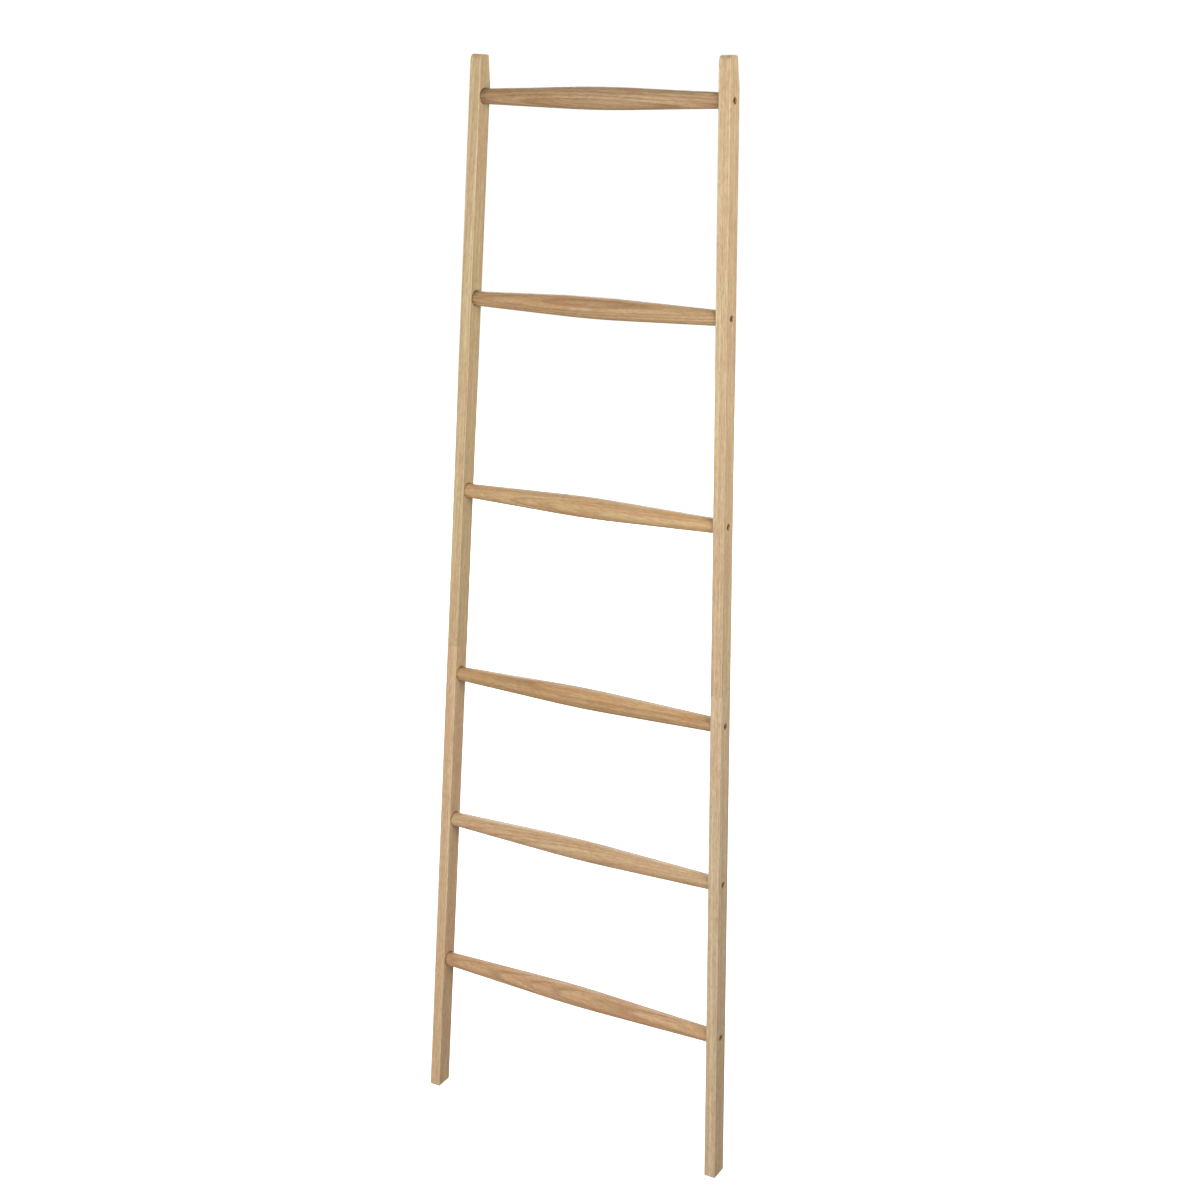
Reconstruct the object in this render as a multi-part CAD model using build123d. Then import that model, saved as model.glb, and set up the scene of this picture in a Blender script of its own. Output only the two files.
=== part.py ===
from build123d import *
from math import atan, cos, degrees, radians, sin, tan
import os

# A leaning wooden ladder for towels and blankets: two tapering stiles, each in two pieces,
# and six turned rungs. Millimetres. It is drawn flat first, X across, Y from front to back
# and Z up along the stiles, and is then leaned back so that its feet are flat on the floor.

# Overall
ladder_length = 1800  # from the front edge of the feet to the top, up along the stiles
foot_outer_width = 586  # outside to outside at the feet
top_outer_width = 467  # outside to outside at the top
lean_angle = 9  # degrees back from upright, with the tops against a wall

# Stiles
stile_width = 20
wall_beside_socket = 2.2  # wood in front of and behind a rung's socket
arris_radius = 1.2
foot_edge_radius = 1
top_front_radius = 9
top_back_radius = 3
wall_bevel_blend_radius = 60
wall_gap_behind_rung = 0.3  # the top rung's middle stands this far off the wall

# Rungs, counted from the floor
lower_rung_count = 3
upper_rung_count = 3
foot_to_first_rung = 245
lower_rung_pitch = 265
top_margin = 65  # last rung to the top
rung_face_diameter = 24  # where a rung enters its stile
rung_middle_diameter = 35
crown_half_length = 62  # half of the rounded stretch in the middle of a rung
rung_end_chamfer = 0.8
socket_clearance = 0.8  # radial, round a rung's end
socket_rise = 0.4  # a socket is bored this far above its rung, which sits low in it

# Rung screws: one-piece connectors with a hexagon socket
counterbore_radius = 5.5
counterbore_depth = 5
web_behind_rung = 6  # wood left between a screw's head and a rung's end
head_radius = 5.2
head_height = 2.8
head_edge_chamfer = 0.4
hex_across_flats = 4
hex_depth = 2
shoulder_radius = 3.5
screw_reach = 42  # from a rung's end face to the screw's tip
screw_thread_radius = 3.2
screw_core_radius = 2.4
screw_pitch = 3
screw_tip_length = 3
shank_clearance = 0.1  # radial, round every shank and thread
crest_start, crest_end, next_root = 0.4, 0.5, 0.9  # of a pitch, along a thread's section
hole_tip_gap = 1.5  # past the tip of every screw and bolt

# Stile joint: a bolt screwed into the upper piece, and an insert in the lower one
bolt_radius = 4
bolt_core_radius = 3.1
bolt_reach = 30  # each way from the joint
bolt_pitch = 3.5
bolt_tip_length = 3
insert_radius = 6
insert_length = 18
insert_recess = 0.5
insert_thread_depth = 0.6
insert_pitch = 3
wall_past_bolt_hole = 6  # wood between the bolt's hole and the socket below it

# Places that follow from the sizes above
socket_radius = rung_face_diameter / 2 + socket_clearance
stile_depth = 2 * (socket_radius + wall_beside_socket)
mid_depth = stile_depth / 2
taper_angle = degrees(atan((foot_outer_width - top_outer_width) / 2 / ladder_length))
stile_stretch = 1 / cos(radians(taper_angle))  # of a length along a stile, for its slant
stile_cross_width = stile_width * stile_stretch
socket_depth = stile_cross_width - counterbore_depth - web_behind_rung
upper_run = ladder_length - top_margin - foot_to_first_rung
upper_rung_pitch = (upper_run - (lower_rung_count - 1) * lower_rung_pitch) / upper_rung_count
rung_heights = [foot_to_first_rung + i * lower_rung_pitch for i in range(lower_rung_count)]
rung_heights += [rung_heights[-1] + (i + 1) * upper_rung_pitch for i in range(upper_rung_count)]
bolt_hole_depth = bolt_reach + hole_tip_gap
last_lower_socket_top = rung_heights[lower_rung_count - 1] + socket_rise + socket_radius
joint_height = last_lower_socket_top + wall_past_bolt_hole + bolt_hole_depth
cutting_margin = 50  # how far cutting shapes reach past the wood
foot_allowance = 100  # wood below the floor, before a foot is cut
sides = {"left": -1, "right": 1}


def outer_half_width(height):
    return foot_outer_width / 2 - height * tan(radians(taper_angle))


def inner_half_width(height):
    return outer_half_width(height) - stile_cross_width


def stile_frame(side, height):
    # On a stile's centre line, with Z along the stile
    across = side * (outer_half_width(height) - stile_cross_width / 2)
    return Pos(across, mid_depth, height) * Rot(0, -side * taper_angle, 0)


def solid_along_x(start, radius, length, height):
    # A cylinder across the ladder at a rung's height, from start outwards or inwards
    middle = start + length / 2
    return Pos(middle, mid_depth, height) * Rot(0, 90, 0) * Cylinder(radius, abs(length))


def ridged_outline(start, end, core_radius, crest_radius, pitch):
    # Points of a thread's section, drawn as rings one pitch apart
    points = []
    for i in range(int((end - start) / pitch)):
        foot = start + i * pitch
        points.append((core_radius, foot))
        points.append((crest_radius, foot + crest_start * pitch))
        points.append((crest_radius, foot + crest_end * pitch))
        points.append((core_radius, foot + next_root * pitch))
    points.append((core_radius, end))
    return points


def turned(points):
    # A solid turned about Z from (radius, height) points
    outline = Plane.XZ * make_face(Polyline(*points, close=True))
    return revolve(outline, Axis.Z)


# ---- Stiles ----

def stile_side_outline():
    # Seen from the side, with a bevel at the top that lies flat on the wall, just behind
    # the middle of the top rung. The foot end is left long, for the floor to cut.
    lean_sine = sin(radians(lean_angle))
    lean_cosine = cos(radians(lean_angle))
    wall_offset = mid_depth * lean_cosine + rung_heights[-1] * lean_sine
    wall_offset += rung_middle_diameter / 2 + wall_gap_behind_rung
    bevel_start = (wall_offset - stile_depth * lean_cosine) / lean_sine
    top_depth = (wall_offset - ladder_length * lean_sine) / lean_cosine
    corners = [
        (0, -foot_allowance),
        (stile_depth, -foot_allowance),
        (stile_depth, bevel_start * stile_stretch),
        (top_depth, ladder_length * stile_stretch),
        (0, ladder_length * stile_stretch),
    ]
    outline = make_face(Polyline(*corners, close=True))
    by_height = outline.vertices().sort_by(Axis.Y)
    top_front, top_back = by_height[-2:].sort_by(Axis.X)
    outline = fillet(top_front, top_front_radius)
    outline = fillet(outline.vertices().sort_by_distance(top_back)[0], top_back_radius)
    bevel_corner = (stile_depth, bevel_start * stile_stretch)
    return fillet(outline.vertices().sort_by_distance(bevel_corner)[0], wall_bevel_blend_radius)


def whole_stile(side):
    bar = extrude(Plane.YZ * stile_side_outline(), amount=stile_width / 2, both=True)
    flat_sides = [bar.faces().sort_by(Axis.X)[0], bar.faces().sort_by(Axis.X)[-1]]
    long_edges = [edge for face in flat_sides for edge in face.edges()]
    bar = fillet([edge for edge in long_edges if edge.center().Z > 0], arris_radius)
    stile = stile_frame(side, 0) * Pos(0, -mid_depth, 0) * bar
    under_floor = Box(2 * foot_outer_width, 4 * stile_depth, 2 * foot_allowance)
    stile -= Rot(lean_angle, 0, 0) * Pos(0, 0, -foot_allowance) * under_floor
    foot = stile.faces().sort_by(Axis.Z)[0]
    return fillet(foot.edges(), foot_edge_radius)


def with_rung_holes(stile, side, heights):
    for height in heights:
        inner = side * inner_half_width(height)
        outer = side * outer_half_width(height)
        socket_mouth = inner - side * cutting_margin
        bore_length = cutting_margin + socket_depth
        bore_height = height + socket_rise
        stile -= solid_along_x(socket_mouth, socket_radius, side * bore_length, bore_height)
        head_seat = outer - side * counterbore_depth
        stile -= solid_along_x(head_seat, counterbore_radius, side * cutting_margin, height)
        through = side * stile_cross_width
        stile -= solid_along_x(inner, shoulder_radius + shank_clearance, through, height)
    return stile


def stile_pieces(side):
    joint = stile_frame(side, joint_height)
    stile = with_rung_holes(whole_stile(side), side, rung_heights)
    half = Box(4 * stile_width, 4 * stile_depth, 2 * ladder_length)
    lower = stile & (joint * Pos(0, 0, -ladder_length) * half)
    upper = stile & (joint * Pos(0, 0, ladder_length) * half)
    bolt_hole = Cylinder(bolt_radius + shank_clearance, 2 * bolt_hole_depth)
    insert_hole = Cylinder(insert_radius + shank_clearance, 2 * (insert_length + insert_recess))
    lower -= joint * (bolt_hole + insert_hole)
    upper -= joint * bolt_hole
    return lower, upper


# ---- Rungs ----

def rung(height):
    # A straight taper from each stile to a rounded crown in the middle
    half_opening = inner_half_width(height)
    half_length = half_opening + socket_depth
    face_radius = rung_face_diameter / 2
    middle_radius = rung_middle_diameter / 2
    slope = (middle_radius - face_radius) / (half_opening - crown_half_length / 2)
    end_radius = face_radius - slope * socket_depth
    crown_edge_radius = face_radius + slope * (half_opening - crown_half_length)
    left_edge = Line((-half_length, 0), (-half_length, end_radius))
    left_taper = Line(left_edge @ 1, (-crown_half_length, crown_edge_radius))
    crown = ThreePointArc(left_taper @ 1, (0, middle_radius), (crown_half_length, crown_edge_radius))
    right_taper = Line(crown @ 1, (half_length, end_radius))
    right_edge = Line(right_taper @ 1, (half_length, 0))
    axis_line = Line(right_edge @ 1, left_edge @ 0)
    outline = make_face(left_edge + left_taper + crown + right_taper + right_edge + axis_line)
    spindle = revolve(outline, Axis.X)
    end_faces = [spindle.faces().sort_by(Axis.X)[0], spindle.faces().sort_by(Axis.X)[-1]]
    end_edges = [edge for face in end_faces for edge in face.edges()]
    spindle = Pos(0, mid_depth, height) * chamfer(end_edges, rung_end_chamfer)
    pilot_radius = screw_thread_radius + shank_clearance
    pilot_depth = screw_reach + hole_tip_gap
    for side in sides.values():
        end_face = side * half_length
        spindle -= solid_along_x(end_face, pilot_radius, -side * pilot_depth, height)
    return spindle


# ---- Screws, bolts and inserts ----

def rung_screw(side, height):
    # Along Z with the tip at the bottom and the head's underside at zero, then turned outwards
    thread_start = -web_behind_rung - screw_reach + screw_tip_length
    points = [(0, thread_start - screw_tip_length)]
    points += ridged_outline(thread_start, -web_behind_rung, screw_core_radius,
                             screw_thread_radius, screw_pitch)
    points += [
        (shoulder_radius, -web_behind_rung),
        (shoulder_radius, 0),
        (head_radius, 0),
        (head_radius, head_height - head_edge_chamfer),
        (head_radius - head_edge_chamfer, head_height),
        (0, head_height),
    ]
    hexagon = RegularPolygon(hex_across_flats / 2, 6, major_radius=False)
    socket = Pos(0, 0, head_height - hex_depth) * extrude(hexagon, hex_depth + cutting_margin)
    screw = turned(points) - socket
    head_seat = side * (outer_half_width(height) - counterbore_depth)
    return Pos(head_seat, mid_depth, height) * Rot(0, side * 90, 0) * screw


def joint_bolt(side):
    # Plain shank below the joint, coarse thread above it
    points = [
        (0, -bolt_reach),
        (bolt_core_radius, -bolt_reach),
        (bolt_radius, bolt_tip_length - bolt_reach),
        (bolt_radius, 0),
    ]
    thread_end = bolt_reach - bolt_tip_length
    points += ridged_outline(0, thread_end, bolt_core_radius, bolt_radius, bolt_pitch)
    points.append((0, bolt_reach))
    return stile_frame(side, joint_height) * turned(points)


def joint_insert(side):
    bottom = -insert_recess - insert_length
    points = ridged_outline(bottom, -insert_recess, insert_radius - insert_thread_depth,
                            insert_radius, insert_pitch)
    bore_radius = bolt_radius + shank_clearance
    points = [(bore_radius, bottom)] + points + [(bore_radius, -insert_recess)]
    return stile_frame(side, joint_height) * turned(points)


# ---- Assembly ----

def flat_assembly():
    nodes = {}
    for side_name, side in sides.items():
        lower, upper = stile_pieces(side)
        nodes[f"stile_{side_name}_lower"] = lower
        nodes[f"stile_{side_name}_upper"] = upper
        nodes[f"joint_bolt_{side_name}"] = joint_bolt(side)
        nodes[f"joint_insert_{side_name}"] = joint_insert(side)
    for number, height in enumerate(rung_heights, start=1):
        nodes[f"rung_{number}"] = rung(height)
        for side_name, side in sides.items():
            nodes[f"rung_{number}_screw_{side_name}"] = rung_screw(side, height)
    return nodes


def placement(nodes):
    # Leaned back, then moved so that the origin is the middle of its box, on the floor
    lean = Rot(-lean_angle, 0, 0)
    stiles = [lean * solid for name, solid in nodes.items() if name.startswith("stile")]
    box = Compound(children=stiles).bounding_box()
    return Pos(-box.center().X, -box.center().Y, -box.min.Z) * lean


parts_flat = flat_assembly()
stand = placement(parts_flat)
parts_leaned = {name: stand * solid for name, solid in parts_flat.items()}

os.makedirs("parts", exist_ok=True)
for name, solid in parts_leaned.items():
    export_step(solid, f"parts/{name}.step")
print(len(parts_leaned), "pieces, joint at", round(joint_height, 1), "rungs at", rung_heights)
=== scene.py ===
import math

import bpy
import numpy as np
from mathutils import Matrix, Vector


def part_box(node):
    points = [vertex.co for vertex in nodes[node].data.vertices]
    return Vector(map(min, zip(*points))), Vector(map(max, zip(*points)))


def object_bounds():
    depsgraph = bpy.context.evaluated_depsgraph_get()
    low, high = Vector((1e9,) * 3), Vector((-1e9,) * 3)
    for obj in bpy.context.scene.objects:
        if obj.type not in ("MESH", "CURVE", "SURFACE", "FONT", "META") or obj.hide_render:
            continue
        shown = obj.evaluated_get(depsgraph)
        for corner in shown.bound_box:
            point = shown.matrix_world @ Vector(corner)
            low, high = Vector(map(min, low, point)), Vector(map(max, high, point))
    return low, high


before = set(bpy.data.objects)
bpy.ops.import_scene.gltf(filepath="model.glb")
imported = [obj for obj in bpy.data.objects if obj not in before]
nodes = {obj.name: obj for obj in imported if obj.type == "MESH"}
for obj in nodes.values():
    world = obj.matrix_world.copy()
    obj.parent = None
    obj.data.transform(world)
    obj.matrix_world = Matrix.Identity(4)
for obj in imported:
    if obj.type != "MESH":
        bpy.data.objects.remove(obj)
cadLow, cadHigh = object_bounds()
print("model loaded:", len(nodes), "pieces")


def linear(red, green, blue):
    # a screen colour in 0 to 255, turned to the linear values that Blender works in
    share = np.array([red, green, blue]) / 255
    low, high = share / 12.92, ((share + 0.055) / 1.055) ** 2.4
    return (*np.where(share <= 0.04045, low, high).tolist(), 1.0)


nodeLayout = {"across": 190, "down": -260, "perRow": 12}


def fillNode(tree, made, inputs):
    # a free place in the editor, then each input linked to a socket or set to a value
    row, column = divmod(len(tree.nodes), nodeLayout["perRow"])
    made.location = (nodeLayout["across"] * column, nodeLayout["down"] * row)
    for name, value in inputs.items():
        if isinstance(value, bpy.types.NodeSocket):
            tree.links.new(value, made.inputs[name])
        else:
            made.inputs[name].default_value = value
    return made


def addNode(tree, kind, inputs=None, **settings):
    made = tree.nodes.new("ShaderNode" + kind)
    for name, value in settings.items():
        setattr(made, name, value)
    return fillNode(tree, made, inputs or {})


def calc(tree, operation, *values):
    made = addNode(tree, "Math", dict(enumerate(values)), operation=operation)
    return made.outputs[0]


def remap(tree, value, low, high, toLow=0.0, toHigh=1.0):
    # a smooth step from toLow to toHigh as value goes from low to high
    inputs = {"Value": value, "From Min": low, "From Max": high, "To Min": toLow, "To Max": toHigh}
    return addNode(tree, "MapRange", inputs, interpolation_type="SMOOTHSTEP").outputs[0]


def mixColour(tree, share, first, second, mode="MIX"):
    made = addNode(tree, "Mix", {0: share, 6: first, 7: second}, data_type="RGBA", blend_type=mode)
    return made.outputs[2]


seedSlide = (3.17, 5.39, 7.71)   # how far a seed of 1 slides a pattern on each axis


def stretched(tree, point, stretch, seed):
    # the point times the stretch on each axis, slid along by the seed
    slide = addNode(tree, "VectorMath", {0: seedSlide, "Scale": seed}, operation="SCALE")
    inputs = {0: point, 1: stretch, 2: slide.outputs[0]}
    return addNode(tree, "VectorMath", inputs, operation="MULTIPLY_ADD").outputs[0]


def noise(tree, vector, detail=2.0, roughness=0.5):
    inputs = {"Vector": vector, "Scale": 1.0, "Detail": detail, "Roughness": roughness}
    return addNode(tree, "TexNoise", inputs).outputs["Fac"]


def newGroup(name, inputs, outputs):
    # inputs: name -> default, where 3 numbers are a vector and 4 a colour
    # outputs: name -> kind of socket
    tree = bpy.data.node_groups.new(name, "ShaderNodeTree")
    kinds = {3: "NodeSocketVector", 4: "NodeSocketColor"}
    for label, value in inputs.items():
        kind = kinds[len(value)] if isinstance(value, tuple) else "NodeSocketFloat"
        socket = tree.interface.new_socket(name=label, in_out="INPUT", socket_type=kind)
        socket.default_value = value
    for label, kind in outputs.items():
        tree.interface.new_socket(name=label, in_out="OUTPUT", socket_type="NodeSocket" + kind)
    return tree, tree.nodes.new("NodeGroupInput"), tree.nodes.new("NodeGroupOutput")


def useGroup(tree, group, inputs):
    made = tree.nodes.new("ShaderNodeGroup")
    made.node_tree = group
    return fillNode(tree, made, inputs)


def makeGrowthRings():
    # rings about a pith line that lies beside the piece, along the fibres
    tree, given, result = newGroup(
        "growthRings",
        {"Point": (0.0, 0.0, 0.0), "Pith": (0.05, 0.08, 0.0), "Ring Width": 0.003, "Wander": 0.002,
         "Seed": 0.0},
        {"Late": "Float", "Ring Tone": "Float"})
    point, seed = given.outputs["Point"], given.outputs["Seed"]
    across = addNode(tree, "VectorMath", {0: point, 1: given.outputs["Pith"]}, operation="SUBTRACT")
    flat = addNode(tree, "VectorMath", {0: across.outputs[0], 1: (1.0, 1.0, 0.0)}, operation="MULTIPLY")
    distance = addNode(tree, "VectorMath", {0: flat.outputs[0]}, operation="LENGTH").outputs["Value"]
    sway = calc(tree, "SUBTRACT", noise(tree, stretched(tree, point, (22, 22, 2.6), seed), 3.0), 0.5)
    swayed = calc(tree, "MULTIPLY_ADD", sway, given.outputs["Wander"], distance)
    turns = calc(tree, "DIVIDE", swayed, given.outputs["Ring Width"])
    spot = addNode(tree, "CombineXYZ", {0: calc(tree, "MULTIPLY", turns, 0.45), 1: seed}).outputs[0]
    uneven = calc(tree, "MULTIPLY_ADD", noise(tree, spot, 1.0), 1.6, turns)   # wide and narrow years
    phase = calc(tree, "FRACT", uneven)
    rise, drop = remap(tree, phase, 0.40, 0.85), remap(tree, phase, 0.86, 1.0, 1.0, 0.0)
    tree.links.new(calc(tree, "MULTIPLY", rise, drop), result.inputs["Late"])
    year = calc(tree, "MULTIPLY_ADD", seed, 17.3, calc(tree, "FLOOR", uneven))
    tone = addNode(tree, "TexWhiteNoise", {"W": year}, noise_dimensions="1D")
    tree.links.new(tone.outputs["Value"], result.inputs["Ring Tone"])
    return tree


# how closely each pattern repeats on the piece's own axes, per metre, and its noise detail
fibreSizes = {"Fine": ((800, 800, 55), 3.0), "Flecks": ((480, 480, 110), 3.0),
              "Streaks": ((330, 330, 11), 4.0), "Bands": ((130, 130, 4.2), 2.0)}
poreLook = {"stretch": (620, 620, 62), "core": 0.06, "colour": (112, 78, 50), "share": 0.5}


def makeFibreGrain():
    # noise drawn out along the piece at four sizes, from single fibres to bands a finger wide
    tree, given, result = newGroup(
        "fibreGrain",
        {"Point": (0.0, 0.0, 0.0), "Seed": 0.0},
        {"Fine": "Float", "Flecks": "Float", "Streaks": "Float", "Bands": "Float"})
    point, seed = given.outputs["Point"], given.outputs["Seed"]
    for label, (stretch, detail) in fibreSizes.items():
        pattern = noise(tree, stretched(tree, point, stretch, seed), detail, 0.6)
        tree.links.new(pattern, result.inputs[label])
    return tree


def makeOpenPores():
    # short dark dashes along the grain, thinned out at random
    tree, given, result = newGroup(
        "openPores",
        {"Point": (0.0, 0.0, 0.0), "Amount": 0.4, "Thickness": 0.25, "Seed": 0.0},
        {"Pores": "Float"})
    place = stretched(tree, given.outputs["Point"], poreLook["stretch"], given.outputs["Seed"])
    cells = addNode(tree, "TexVoronoi", {"Vector": place, "Scale": 1.0, "Randomness": 1.0})
    dash = remap(tree, cells.outputs["Distance"], given.outputs["Thickness"], poreLook["core"])
    choice = addNode(tree, "SeparateXYZ", {0: cells.outputs["Color"]}).outputs[0]
    kept = calc(tree, "LESS_THAN", choice, given.outputs["Amount"])
    tree.links.new(calc(tree, "MULTIPLY", dash, kept), result.inputs["Pores"])
    return tree


def makeWoodTone():
    # the wood's colours laid over each other: years, bands, late wood, streaks, fibres, pores
    tree, given, result = newGroup(
        "woodTone",
        {"Pale": linear(214, 190, 150), "Tan": linear(196, 166, 124), "Deep": linear(168, 130, 92),
         "Blush": linear(196, 156, 124), "Late": 0.0, "Ring Tone": 0.5, "Fine": 0.5, "Flecks": 0.5,
         "Streaks": 0.5, "Bands": 0.5, "Cloud": 0.5, "Pores": 0.0, "Figure": 0.5, "Streak Depth": 0.4},
        {"Color": "Color"})
    out = given.outputs
    years = calc(tree, "MULTIPLY_ADD", out["Ring Tone"], 0.3, calc(tree, "MULTIPLY", out["Streaks"], 0.7))
    ground = mixColour(tree, remap(tree, years, 0.30, 0.66), out["Pale"], out["Tan"])
    band = calc(tree, "MULTIPLY_ADD", out["Cloud"], 0.4, calc(tree, "MULTIPLY", out["Bands"], 0.6))
    blushed = mixColour(tree, remap(tree, band, 0.44, 0.62, 0.0, 0.85), ground, out["Blush"])
    ringed = mixColour(tree, calc(tree, "MULTIPLY", out["Late"], out["Figure"]), blushed, out["Deep"])
    dark = remap(tree, out["Streaks"], 0.56, 0.74)
    streaked = mixColour(tree, calc(tree, "MULTIPLY", dark, out["Streak Depth"]), ringed, out["Deep"])
    fine = remap(tree, out["Fine"], 0.3, 0.7, 0.86, 1.10)
    fleck = remap(tree, out["Flecks"], 0.30, 0.62, 0.88, 1.05)
    brightness = calc(tree, "MULTIPLY", fine, fleck)
    shade = addNode(tree, "CombineColor", {channel: brightness for channel in range(3)})
    fibred = mixColour(tree, 1.0, streaked, shade.outputs[0], "MULTIPLY")
    poreShare = calc(tree, "MULTIPLY", out["Pores"], poreLook["share"])
    pored = mixColour(tree, poreShare, fibred, linear(*poreLook["colour"]))
    tree.links.new(pored, result.inputs["Color"])
    return tree


def makeArrisWearHighlightShade():
    # how near a point of a four-sided bar is to one of its long edges, broken up by noise;
    # pale edges there are part wear, part painted highlight; the second mask is painted shade,
    # a thin dark line a little way in from the edge, on the narrow sides
    tree, given, result = newGroup(
        "arrisWearHighlightShade",
        {"Point": (0.0, 0.0, 0.0), "Half Width": 0.01, "Half Depth": 0.015, "Reach": 0.003, "Seed": 0.0},
        {"Wear And Highlight": "Float", "Painted Shade": "Float"})
    sides = addNode(tree, "SeparateXYZ", {0: given.outputs["Point"]}).outputs
    gaps = [calc(tree, "SUBTRACT", given.outputs[half], calc(tree, "ABSOLUTE", sides[axis]))
            for axis, half in enumerate(("Half Width", "Half Depth"))]
    near = calc(tree, "DIVIDE", calc(tree, "MAXIMUM", *gaps), given.outputs["Reach"])
    patch = noise(tree, stretched(tree, given.outputs["Point"], (300, 300, 22), given.outputs["Seed"]), 3.0)
    broken = calc(tree, "MULTIPLY_ADD", patch, 1.2, near)
    # pale edges: part wear, part painted highlight
    tree.links.new(remap(tree, broken, 1.25, 0.45), result.inputs["Wear And Highlight"])
    # painted shade: a thin dark line in from the edge on the narrow sides, where the rounded edge turns from
    # the light
    fromEdge = calc(tree, "DIVIDE", gaps[1], given.outputs["Reach"])
    line = calc(tree, "MULTIPLY", remap(tree, fromEdge, 0.35, 0.75), remap(tree, fromEdge, 1.5, 0.9))
    onSide = calc(tree, "MULTIPLY", line, remap(tree, gaps[0], 0.0008, 0.0002))
    tree.links.new(calc(tree, "MULTIPLY", onSide, remap(tree, patch, 0.4, 0.6)), result.inputs["Painted Shade"])
    return tree


def makeEndStain():
    # dark streaks that run in from the two ends of a piece
    tree, given, result = newGroup(
        "endStain",
        {"Point": (0.0, 0.0, 0.0), "Half Length": 0.2, "Low End Reach": 0.03, "High End Reach": 0.015,
         "Seed": 0.0},
        {"Stain": "Float"})
    along = addNode(tree, "SeparateXYZ", {0: given.outputs["Point"]}).outputs[2]
    streak = noise(tree, stretched(tree, given.outputs["Point"], (420, 420, 30), given.outputs["Seed"]), 2.0)
    masks = []
    for label, sense in (("Low End Reach", 1.0), ("High End Reach", -1.0)):
        inward = calc(tree, "MULTIPLY_ADD", along, sense, given.outputs["Half Length"])
        share = calc(tree, "DIVIDE", inward, given.outputs[label])
        masks.append(remap(tree, calc(tree, "MULTIPLY_ADD", streak, -1.4, share), -0.05, -0.45))
    tree.links.new(calc(tree, "MAXIMUM", *masks), result.inputs["Stain"])
    return tree


def makeHandledFinish():
    # a satin oil finish: cloudy roughness, rubbed patches and fine sanding lines across the grain
    tree, given, result = newGroup(
        "handledFinish",
        {"Point": (0.0, 0.0, 0.0), "Dull": 0.62, "Glossy": 0.42, "Seed": 0.0},
        {"Roughness": "Float", "Sanding": "Float", "Cloud": "Float"})
    point, seed = given.outputs["Point"], given.outputs["Seed"]
    cloud = noise(tree, stretched(tree, point, (26, 26, 9), seed), 4.0, 0.6)
    sanding = noise(tree, stretched(tree, point, (260, 260, 3200), seed), 2.0)
    share = calc(tree, "MULTIPLY_ADD", sanding, 0.35, calc(tree, "MULTIPLY", cloud, 0.65))
    rough = remap(tree, share, 0.35, 0.65, given.outputs["Glossy"], given.outputs["Dull"])
    tree.links.new(rough, result.inputs["Roughness"])
    tree.links.new(sanding, result.inputs["Sanding"])
    tree.links.new(cloud, result.inputs["Cloud"])
    return tree


latheLines = 5200.0   # per metre


def makeTurnedMetal():
    # lathe lines round the axis, blotchy plating and small scratches
    tree, given, result = newGroup(
        "turnedMetal",
        {"Point": (0.0, 0.0, 0.0), "Bright": linear(190, 150, 110), "Dark": linear(110, 78, 52),
         "Rough Low": 0.28, "Rough High": 0.5, "Seed": 0.0},
        {"Color": "Color", "Roughness": "Float", "Height": "Float"})
    point, seed = given.outputs["Point"], given.outputs["Seed"]
    axis = addNode(tree, "SeparateXYZ", {0: point}).outputs
    squareY = calc(tree, "MULTIPLY", axis[1], axis[1])
    radius = calc(tree, "SQRT", calc(tree, "MULTIPLY_ADD", axis[0], axis[0], squareY))
    lathe = addNode(tree, "CombineXYZ", {0: calc(tree, "MULTIPLY", radius, latheLines),
                                         1: calc(tree, "MULTIPLY", axis[2], latheLines), 2: seed}).outputs[0]
    lines = noise(tree, lathe, 1.0)
    blotch = noise(tree, stretched(tree, point, (420, 420, 420), seed), 3.0)
    scratch = noise(tree, stretched(tree, point, (2600, 300, 1400), seed), 2.0)
    colour = mixColour(tree, remap(tree, blotch, 0.35, 0.68), given.outputs["Bright"], given.outputs["Dark"])
    share = calc(tree, "MULTIPLY_ADD", scratch, 0.5, calc(tree, "MULTIPLY", blotch, 0.5))
    tree.links.new(colour, result.inputs["Color"])
    tree.links.new(remap(tree, share, 0.35, 0.65, given.outputs["Rough Low"], given.outputs["Rough High"]),
                   result.inputs["Roughness"])
    tree.links.new(calc(tree, "MULTIPLY_ADD", scratch, 0.5, lines), result.inputs["Height"])
    return tree


growthRings, fibreGrain, openPores = makeGrowthRings(), makeFibreGrain(), makeOpenPores()
woodTone, arrisWearHighlightShade, endStain = makeWoodTone(), makeArrisWearHighlightShade(), makeEndStain()
handledFinish, turnedMetal = makeHandledFinish(), makeTurnedMetal()
print("shared effects built")


def middle(name):
    low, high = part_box(name)
    return (low + high) / 2


def basis(length, depth):
    # columns are the piece's own axes: Z along it, Y through its depth, X across
    length = length.normalized()
    depth = (depth - depth.dot(length) * length).normalized()
    return Matrix((depth.cross(length), depth, length)).transposed()


def pieceSpace(node, turn):
    # the node's middle and half sizes on its own axes
    mesh = nodes[node].data
    points = np.empty(len(mesh.vertices) * 3, np.float32)
    mesh.vertices.foreach_get("co", points)
    own = points.reshape(-1, 3) @ np.array(turn)
    low, high = own.min(0), own.max(0)
    return turn @ Vector((low + high) / 2), (high - low) / 2


rungCount = len([name for name in nodes if name.startswith("rung_") and "screw" not in name])
upLadder = middle(f"rung_{rungCount}") - middle("rung_1")
acrossLadder = Vector((1.0, 0.0, 0.0))
throughLadder = upLadder.cross(acrossLadder)
stileTurn = {}
for side in ("left", "right"):
    upStile = middle(f"rung_{rungCount}_screw_{side}") - middle(f"rung_1_screw_{side}")
    stileTurn[side] = basis(upStile, throughLadder)
rungTurn = basis(acrossLadder, throughLadder)


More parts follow.
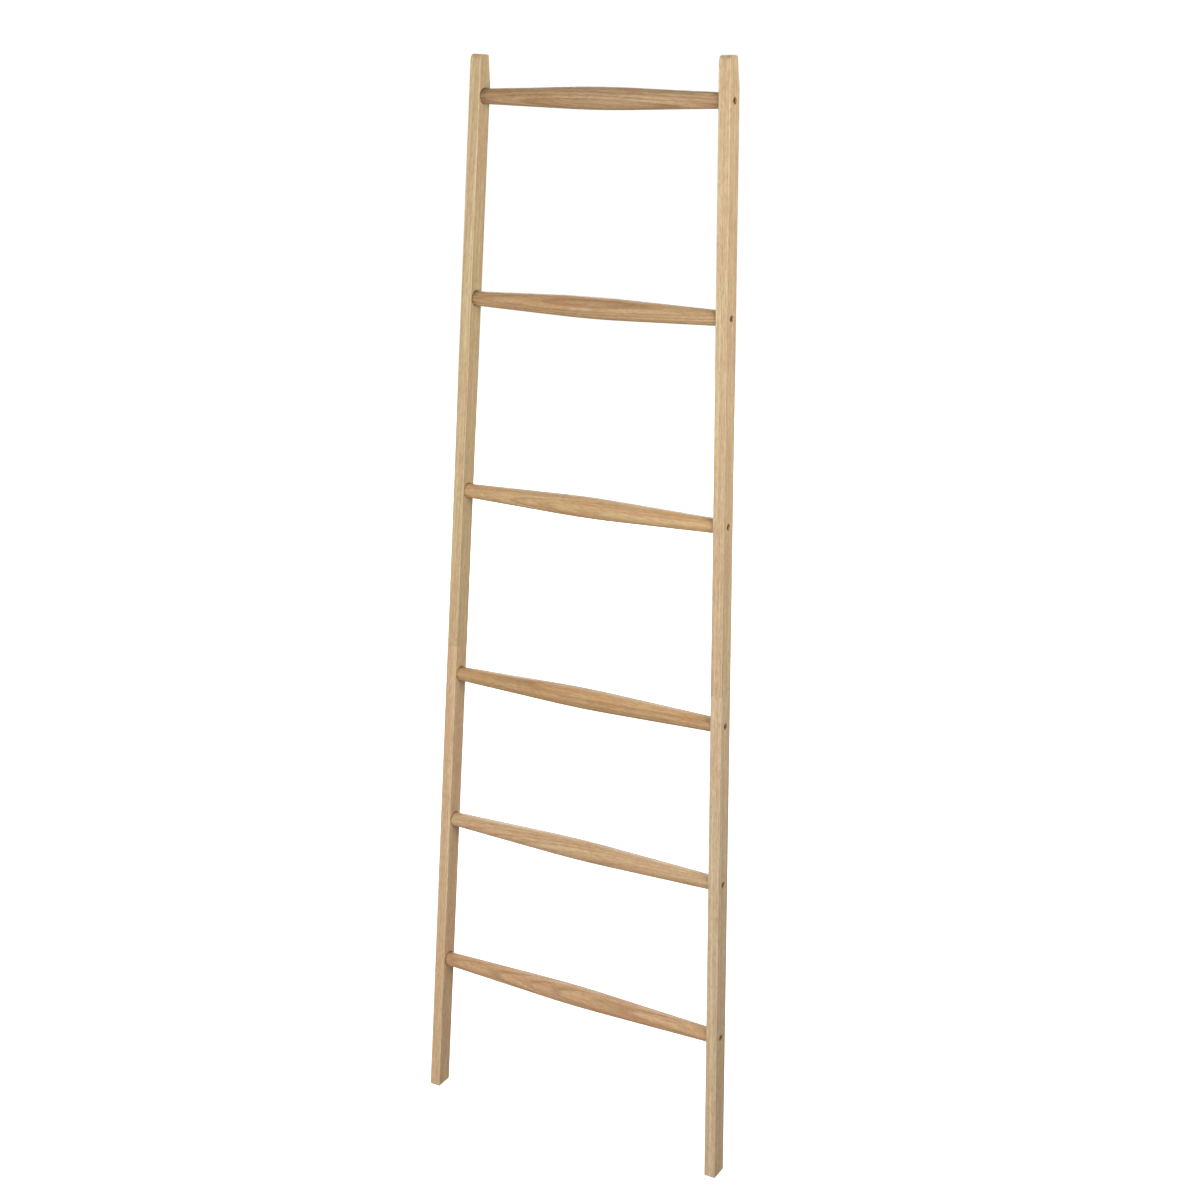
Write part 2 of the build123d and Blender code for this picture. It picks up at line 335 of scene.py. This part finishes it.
def pointOn(tree, centre, turn):
    # Object coordinates on the piece's own axes, from its own middle
    coordinates = addNode(tree, "TexCoord")
    place = {"Vector": coordinates.outputs["Object"], "Location": centre, "Rotation": turn.to_euler()}
    return addNode(tree, "Mapping", place, vector_type="TEXTURE").outputs[0]


def newMaterial(name):
    material = bpy.data.materials.new(name)
    material.use_nodes = True
    tree = material.node_tree
    return material, tree, tree.nodes["Principled BSDF"]


def dress(node, material):
    mesh = nodes[node].data
    if not mesh.materials:
        mesh.materials.append(material)
    for slot in nodes[node].material_slots:
        slot.link = "OBJECT"
        slot.material = material


# arris gives each stile the strength of its pale edges, part wear and part painted highlight, and of its
# painted shade line
woods = {
    "stile_left_upper": {"seed": 1.3, "pale": (203, 181, 139), "tan": (187, 163, 121),
                         "deep": (157, 128, 92), "blush": (192, 160, 123), "pith": (0.055, 0.09),
                         "drift": (0.004, 0.010), "ring": 0.0026, "figure": 0.30, "streak": 0.35,
                         "pores": 0.35, "arris": (0.25, 0.45)},
    "stile_left_lower": {"seed": 4.8, "pale": (209, 183, 144), "tan": (196, 164, 126),
                         "deep": (164, 129, 92), "blush": (201, 163, 128), "pith": (-0.07, 0.07),
                         "drift": (-0.006, 0.006), "ring": 0.0030, "figure": 0.30, "streak": 0.35,
                         "pores": 0.45, "arris": (0.15, 0.25)},
    "stile_right_upper": {"seed": 7.1, "pale": (202, 180, 141), "tan": (188, 162, 124),
                          "deep": (154, 122, 88), "blush": (189, 157, 122), "pith": (0.08, -0.06),
                          "drift": (0.005, 0.004), "ring": 0.0028, "figure": 0.28, "streak": 0.35,
                          "pores": 0.6, "arris": (0.15, 0.3)},
    "stile_right_lower": {"seed": 11.6, "pale": (207, 184, 150), "tan": (193, 168, 132),
                          "deep": (161, 129, 96), "blush": (195, 166, 132), "pith": (-0.06, -0.09),
                          "drift": (0.003, -0.008), "ring": 0.0032, "figure": 0.28, "streak": 0.3,
                          "pores": 0.4, "arris": (0.15, 0.2)},
    "rung_1": {"seed": 13.2, "pale": (199, 164, 124), "tan": (184, 148, 108), "deep": (147, 106, 69),
               "blush": (189, 145, 105), "pith": (0.02, 0.045), "drift": (0.05, 0.03),
               "ring": 0.0050, "figure": 0.40, "streak": 0.45, "pores": 0.5, "ends": (0.020, 0.012)},
    "rung_2": {"seed": 17.9, "pale": (201, 174, 132), "tan": (188, 156, 117), "deep": (151, 114, 78),
               "blush": (192, 154, 115), "pith": (-0.03, 0.04), "drift": (-0.03, 0.04),
               "ring": 0.0046, "figure": 0.32, "streak": 0.4, "pores": 0.5, "ends": (0.018, 0.012)},
    "rung_3": {"seed": 21.4, "pale": (193, 158, 113), "tan": (176, 143, 99), "deep": (143, 102, 65),
               "blush": (182, 140, 95), "pith": (0.035, 0.03), "drift": (0.04, -0.03),
               "ring": 0.0054, "figure": 0.45, "streak": 0.45, "pores": 0.5, "ends": (0.020, 0.012)},
    "rung_4": {"seed": 26.7, "pale": (199, 169, 123), "tan": (185, 151, 107), "deep": (148, 111, 70),
               "blush": (189, 149, 105), "pith": (0.01, -0.05), "drift": (0.02, 0.05),
               "ring": 0.0048, "figure": 0.32, "streak": 0.4, "pores": 0.45, "ends": (0.020, 0.012)},
    "rung_5": {"seed": 31.5, "pale": (191, 160, 116), "tan": (175, 142, 102), "deep": (133, 95, 60),
               "blush": (181, 140, 96), "pith": (-0.02, -0.04), "drift": (-0.05, 0.03),
               "ring": 0.0050, "figure": 0.42, "streak": 0.5, "pores": 0.55, "ends": (0.034, 0.014)},
    "rung_6": {"seed": 35.8, "pale": (178, 150, 113), "tan": (166, 134, 97), "deep": (125, 88, 59),
               "blush": (168, 132, 93), "pith": (0.03, -0.04), "drift": (0.05, 0.04),
               "ring": 0.0052, "figure": 0.42, "streak": 0.5, "pores": 0.55, "ends": (0.040, 0.014)},
}
# the edge line colour is a painted shade; the lift of the pale edges is part wear, part painted highlight
woodFinish = {"wander": 0.0030, "poreThickness": 0.30, "arrisReach": 0.0028, "arrisColour": (128, 110, 84),
              "stainColour": (92, 62, 38), "stainShare": 0.5, "dull": 0.68, "glossy": 0.48,
              "wearHighlightLift": 10, "specular": 0.4, "bumpStrength": 0.35, "bumpDepth": 0.0004,
              "ringRelief": 0.35, "fibreRelief": 0.45, "sandingRelief": 0.12, "poreRelief": -0.9}


def makeWood(node, look, turn):
    centre, half = pieceSpace(node, turn)
    material, tree, shader = newMaterial(node + "_wood")
    point, seed = pointOn(tree, centre, turn), look["seed"]
    along = addNode(tree, "SeparateXYZ", {0: point}).outputs[2]
    drift = addNode(tree, "VectorMath", {0: (*look["drift"], 0.0), "Scale": along}, operation="SCALE")
    fibre = addNode(tree, "VectorMath", {0: point, 1: drift.outputs[0]}, operation="SUBTRACT").outputs[0]
    rings = useGroup(tree, growthRings, {
        "Point": fibre, "Pith": (*look["pith"], 0.0), "Ring Width": look["ring"],
        "Wander": woodFinish["wander"], "Seed": seed}).outputs
    grain = useGroup(tree, fibreGrain, {"Point": fibre, "Seed": seed}).outputs
    pores = useGroup(tree, openPores, {
        "Point": fibre, "Amount": look["pores"], "Thickness": woodFinish["poreThickness"],
        "Seed": seed}).outputs
    finish = useGroup(tree, handledFinish, {
        "Point": point, "Dull": woodFinish["dull"], "Glossy": woodFinish["glossy"], "Seed": seed}).outputs
    colour = useGroup(tree, woodTone, {
        "Pale": linear(*look["pale"]), "Tan": linear(*look["tan"]), "Deep": linear(*look["deep"]),
        "Blush": linear(*look["blush"]), "Late": rings["Late"], "Ring Tone": rings["Ring Tone"],
        "Cloud": finish["Cloud"], "Pores": pores["Pores"], "Figure": look["figure"],
        "Streak Depth": look["streak"], **{label: grain[label] for label in fibreSizes}}).outputs["Color"]
    if "arris" in look:
        wearHighlightShade = useGroup(tree, arrisWearHighlightShade, {
            "Point": point, "Half Width": float(half[0]), "Half Depth": float(half[1]),
            "Reach": woodFinish["arrisReach"], "Seed": seed}).outputs
        # on the stiles: a painted shade line in from the edges, then pale edges that are part wear, part
        # painted highlight
        pale, shade = look["arris"]
        line = linear(*woodFinish["arrisColour"])
        colour = mixColour(tree, calc(tree, "MULTIPLY", wearHighlightShade["Painted Shade"], shade), colour, line)
        # pale edges along the stiles: part wear, part painted highlight
        rubbedAndLit = linear(*(level + woodFinish["wearHighlightLift"] for level in look["pale"]))
        colour = mixColour(tree, calc(tree, "MULTIPLY", wearHighlightShade["Wear And Highlight"], pale), colour, rubbedAndLit)
    if "ends" in look:
        stain = useGroup(tree, endStain, {
            "Point": point, "Half Length": float(half[2]), "Low End Reach": look["ends"][0],
            "High End Reach": look["ends"][1], "Seed": seed}).outputs["Stain"]
        share = calc(tree, "MULTIPLY", stain, woodFinish["stainShare"])
        colour = mixColour(tree, share, colour, linear(*woodFinish["stainColour"]))
    tree.links.new(colour, shader.inputs["Base Color"])
    tree.links.new(finish["Roughness"], shader.inputs["Roughness"])
    shader.inputs["Specular IOR Level"].default_value = woodFinish["specular"]
    fibres = calc(tree, "MULTIPLY", grain["Fine"], woodFinish["fibreRelief"])
    ridged = calc(tree, "MULTIPLY_ADD", rings["Late"], woodFinish["ringRelief"], fibres)
    sanded = calc(tree, "MULTIPLY_ADD", finish["Sanding"], woodFinish["sandingRelief"], ridged)
    pitted = calc(tree, "MULTIPLY_ADD", pores["Pores"], woodFinish["poreRelief"], sanded)
    bump = addNode(tree, "Bump", {"Strength": woodFinish["bumpStrength"], "Distance": woodFinish["bumpDepth"],
                                  "Height": pitted})
    tree.links.new(bump.outputs[0], shader.inputs["Normal"])
    return material


for node, look in woods.items():
    turn = stileTurn[node.split("_")[1]] if node.startswith("stile") else rungTurn
    dress(node, makeWood(node, look, turn))
print("wood on", len(woods), "pieces")


metals = {
    "screw": {"bright": (188, 150, 112), "dark": (118, 88, 62), "rough": (0.34, 0.5), "bump": 0.2},
    "bolt": {"bright": (206, 204, 198), "dark": (150, 148, 142), "rough": (0.24, 0.42), "bump": 0.18},
    "insert": {"bright": (214, 180, 110), "dark": (156, 122, 66), "rough": (0.28, 0.46), "bump": 0.18},
}
metalBumpDepth = 0.0001
metalSeedStep = 2.3


def makeMetal(node, look, turn, seed):
    material, tree, shader = newMaterial(node + "_metal")
    point = pointOn(tree, pieceSpace(node, turn)[0], turn)
    finish = useGroup(tree, turnedMetal, {
        "Point": point, "Bright": linear(*look["bright"]), "Dark": linear(*look["dark"]),
        "Rough Low": look["rough"][0], "Rough High": look["rough"][1], "Seed": seed}).outputs
    tree.links.new(finish["Color"], shader.inputs["Base Color"])
    tree.links.new(finish["Roughness"], shader.inputs["Roughness"])
    shader.inputs["Metallic"].default_value = 1.0
    bump = addNode(tree, "Bump", {"Strength": look["bump"], "Distance": metalBumpDepth,
                                  "Height": finish["Height"]})
    tree.links.new(bump.outputs[0], shader.inputs["Normal"])
    return material


metalNodes = sorted(name for name in nodes if name not in woods)
for number, node in enumerate(metalNodes):
    kind = next(word for word in metals if word in node)
    turn = rungTurn if kind == "screw" else stileTurn[node.split("_")[-1]]
    dress(node, makeMetal(node, metals[kind], turn, number * metalSeedStep))
print("metal on", len(metalNodes), "pieces")


studio = {"floorSize": 90.0, "floorSeen": (244, 243, 241), "floorAsLight": (176, 175, 174), "floorGlow": 0.62,
          "skyTop": 0.55, "skyLevel": 0.25, "skyBelow": 0.1, "skySeen": 1.1,
          "frontPlace": (-0.9, -4.0, 1.3), "frontSize": 3.0, "frontPower": 100.0, "frontSpread": 180.0,
          "sidePlace": (1.9, -0.75, 1.8), "sideSize": 1.2, "sidePower": 24.0, "sideSpread": 135.0,
          "backPlace": (-2.2, 3.4, 2.6), "backSize": 2.6, "backPower": 120.0, "backSpread": 180.0}


def makeFloor():
    # white board, lifted towards pure white where it is looked at directly, and held back as a light
    half = studio["floorSize"] / 2
    corners = np.array([(-1, -1), (1, -1), (1, 1), (-1, 1)], float) * half
    mesh = bpy.data.meshes.new("floor")
    mesh.from_pydata(np.column_stack((corners, np.zeros(4))).tolist(), [], [(0, 1, 2, 3)])
    floor = bpy.data.objects.new("floor", mesh)
    bpy.context.scene.collection.objects.link(floor)
    material, tree, shader = newMaterial("floor_board")
    shader.inputs["Roughness"].default_value = 0.85
    shader.inputs["Specular IOR Level"].default_value = 0.1
    seen = addNode(tree, "LightPath").outputs["Is Camera Ray"]
    board = mixColour(tree, seen, linear(*studio["floorAsLight"]), linear(*studio["floorSeen"]))
    tree.links.new(board, shader.inputs["Base Color"])
    shader.inputs["Emission Color"].default_value = (1.0, 1.0, 1.0, 1.0)
    tree.links.new(calc(tree, "MULTIPLY", seen, studio["floorGlow"]), shader.inputs["Emission Strength"])
    mesh.materials.append(material)


def makeLight(name, aim):
    light = bpy.data.lights.new(name, "AREA")
    light.shape, light.size, light.energy = "DISK", studio[name + "Size"], studio[name + "Power"]
    light.spread = math.radians(studio[name + "Spread"])
    lamp = bpy.data.objects.new(name, light)
    lamp.location = studio[name + "Place"]
    lamp.rotation_euler = (lamp.location - aim).to_track_quat("Z", "Y").to_euler()
    bpy.context.scene.collection.objects.link(lamp)


def makeWorld():
    # plain white to look at; as a light it is strongest overhead and weak below
    world = bpy.data.worlds.new("studio")
    world.use_nodes = True
    tree = world.node_tree
    background = tree.nodes["Background"]
    height = addNode(tree, "SeparateXYZ", {0: addNode(tree, "TexCoord").outputs["Generated"]}).outputs[2]
    above = remap(tree, height, 0.0, 1.0, studio["skyLevel"], studio["skyTop"])
    below = remap(tree, height, -0.4, 0.0, studio["skyBelow"], studio["skyLevel"])
    light = addNode(tree, "Mix", {0: calc(tree, "LESS_THAN", height, 0.0), 2: above, 3: below}).outputs[0]
    seen = addNode(tree, "LightPath").outputs["Is Camera Ray"]
    strength = addNode(tree, "Mix", {0: seen, 2: light, 3: studio["skySeen"]}).outputs[0]
    tree.links.new(strength, background.inputs["Strength"])
    background.inputs["Color"].default_value = (1.0, 1.0, 1.0, 1.0)
    bpy.context.scene.world = world


view = {"azimuth": 32.864, "elevation": 20.961, "roll": -3.312, "distance": 3.1906,
        "aim": (0.0169, 0.0274, 0.9240), "lens": 58.53, "sensor": 36.0}


def makeCamera():
    turn, rise = math.radians(view["azimuth"]), math.radians(view["elevation"])
    back = Vector((math.sin(turn) * math.cos(rise), -math.cos(turn) * math.cos(rise), math.sin(rise)))
    camera = bpy.data.cameras.new("camera")
    camera.lens, camera.sensor_width = view["lens"], view["sensor"]
    eye = bpy.data.objects.new("camera", camera)
    eye.location = Vector(view["aim"]) + back * view["distance"]
    level = back.to_track_quat("Z", "Y").to_matrix()
    eye.rotation_euler = (level @ Matrix.Rotation(math.radians(view["roll"]), 3, "Z")).to_euler()
    bpy.context.scene.collection.objects.link(eye)
    bpy.context.scene.camera = eye


makeFloor()
makeWorld()
ladderMiddle = (cadLow + cadHigh) / 2
makeLight("front", ladderMiddle)
makeLight("side", Vector((0.0, 0.0, studio["sidePlace"][2])))
makeLight("back", ladderMiddle)
makeCamera()
bpy.context.scene.view_settings.view_transform = "Standard"
bpy.context.scene.view_settings.look = "None"
print("floor, lights and camera set")
